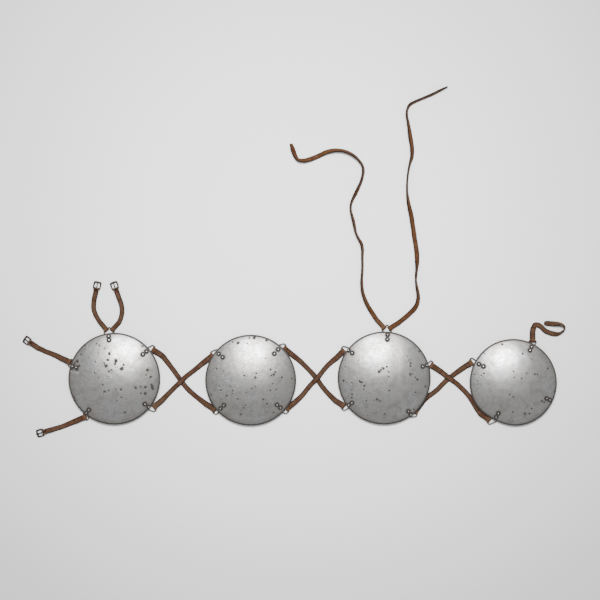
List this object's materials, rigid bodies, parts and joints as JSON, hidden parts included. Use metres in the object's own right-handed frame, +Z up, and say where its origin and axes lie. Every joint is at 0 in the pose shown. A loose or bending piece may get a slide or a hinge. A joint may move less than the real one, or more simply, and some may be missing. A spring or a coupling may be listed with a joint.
{
  "type": "mirror cuirass",
  "caption": "Round domed iron plates joined by crossed leather straps on wire rings, with buckles and shoulder ties, laid out flat as a body armour that is worn over mail",
  "frame": {"origin": "the middle of the bounding box on the table that the cuirass is laid out on", "axes": "+X runs along the row of plates from the first to the last, +Y from the plates towards the shoulder ties, +Z up from the table"},
  "size_m": [1.1804, 0.7634, 0.029],
  "materials": {
    "plate_iron": "worn, pitted",
    "hanger_iron": "worn",
    "ring_iron": "dark, forged",
    "buckle_iron": "dark, forged",
    "strap_leather": "old, worn",
    "tie_leather": "old, worn"
  },
  "bodies": {
    "cuirass": {"plate_front": "plate_iron", "hanger_front_top": "hanger_iron", "hanger_front_left_upper": "hanger_iron", "hanger_front_left_lower": "hanger_iron", "hanger_front_right_upper": "hanger_iron", "hanger_front_right_lower": "hanger_iron", "plate_side_a": "plate_iron", "hanger_side_a_left_upper": "hanger_iron", "hanger_side_a_left_lower": "hanger_iron", "hanger_side_a_right_upper": "hanger_iron", "hanger_side_a_right_lower": "hanger_iron", "plate_back": "plate_iron", "hanger_back_top": "hanger_iron", "hanger_back_left_upper": "hanger_iron", "hanger_back_left_lower": "hanger_iron", "hanger_back_right_upper": "hanger_iron", "hanger_back_right_lower": "hanger_iron", "plate_side_b": "plate_iron", "hanger_side_b_left_upper": "hanger_iron", "hanger_side_b_left_lower": "hanger_iron", "hanger_side_b_right_upper": "hanger_iron", "hanger_side_b_right_lower": "hanger_iron", "ring_front_top": "ring_iron", "ring_front_left_upper": "ring_iron", "ring_front_left_lower": "ring_iron", "ring_front_right_upper": "ring_iron", "ring_front_right_lower": "ring_iron", "ring_side_a_left_upper": "ring_iron", "ring_side_a_left_lower": "ring_iron", "ring_side_a_right_upper": "ring_iron", "ring_side_a_right_lower": "ring_iron", "ring_back_top": "ring_iron", "ring_back_left_upper": "ring_iron", "ring_back_left_lower": "ring_iron", "ring_back_right_upper": "ring_iron", "ring_back_right_lower": "ring_iron", "ring_side_b_left_upper": "ring_iron", "ring_side_b_left_lower": "ring_iron", "ring_side_b_right_upper": "ring_iron", "strap_front_side_a_falling": "strap_leather", "strap_front_side_a_rising": "strap_leather", "strap_side_a_back_falling": "strap_leather", "strap_side_a_back_rising": "strap_leather", "strap_back_side_b_rising": "strap_leather", "strap_back_side_b_falling": "strap_leather", "buckle_strap_top_left": "strap_leather", "buckle_strap_top_right": "strap_leather", "buckle_strap_left_upper": "strap_leather", "buckle_strap_left_lower": "strap_leather", "shoulder_tie_left": "tie_leather", "shoulder_tie_right": "tie_leather", "torn_strap": "strap_leather"},
    "frame_top_left": {"buckle_frame_top_left": "buckle_iron"},
    "tongue_top_left": {"buckle_tongue_top_left": "buckle_iron"},
    "frame_top_right": {"buckle_frame_top_right": "buckle_iron"},
    "tongue_top_right": {"buckle_tongue_top_right": "buckle_iron"},
    "frame_left_upper": {"buckle_frame_left_upper": "buckle_iron"},
    "tongue_left_upper": {"buckle_tongue_left_upper": "buckle_iron"},
    "frame_left_lower": {"buckle_frame_left_lower": "buckle_iron"},
    "tongue_left_lower": {"buckle_tongue_left_lower": "buckle_iron"}
  },
  "joints": [
    {"name": "frame_hinge_top_left", "type": "hinge", "parent": "cuirass", "child": "frame_top_left", "pos_m": [-0.42908, -0.05855, 0.00381], "axis": [0.9781, -0.2079, 0], "range_deg": [0, 75]},
    {"name": "tongue_hinge_top_left", "type": "hinge", "parent": "frame_top_left", "child": "tongue_top_left", "pos_m": [-0.42908, -0.05855, 0.00381], "axis": [0.9781, -0.2079, 0], "range_deg": [0, 60]},
    {"name": "frame_hinge_top_right", "type": "hinge", "parent": "cuirass", "child": "frame_top_right", "pos_m": [-0.38708, -0.05875, 0.00381], "axis": [0.9397, 0.342, 0], "range_deg": [0, 75]},
    {"name": "tongue_hinge_top_right", "type": "hinge", "parent": "frame_top_right", "child": "tongue_top_right", "pos_m": [-0.38708, -0.05875, 0.00381], "axis": [0.9397, 0.342, 0], "range_deg": [0, 60]},
    {"name": "frame_hinge_left_upper", "type": "hinge", "parent": "cuirass", "child": "frame_left_upper", "pos_m": [-0.57408, -0.17455, 0.00381], "axis": [0.5548, 0.832, 0], "range_deg": [0, 75]},
    {"name": "tongue_hinge_left_upper", "type": "hinge", "parent": "frame_left_upper", "child": "tongue_left_upper", "pos_m": [-0.57408, -0.17455, 0.00381], "axis": [0.5548, 0.832, 0], "range_deg": [0, 60]},
    {"name": "frame_hinge_left_lower", "type": "hinge", "parent": "cuirass", "child": "frame_left_lower", "pos_m": [-0.54408, -0.36975, 0.00381], "axis": [-0.2773, 0.9608, 0], "range_deg": [0, 75]},
    {"name": "tongue_hinge_left_lower", "type": "hinge", "parent": "frame_left_lower", "child": "tongue_left_lower", "pos_m": [-0.54408, -0.36975, 0.00381], "axis": [-0.2773, 0.9608, 0], "range_deg": [0, 60]}
  ]
}
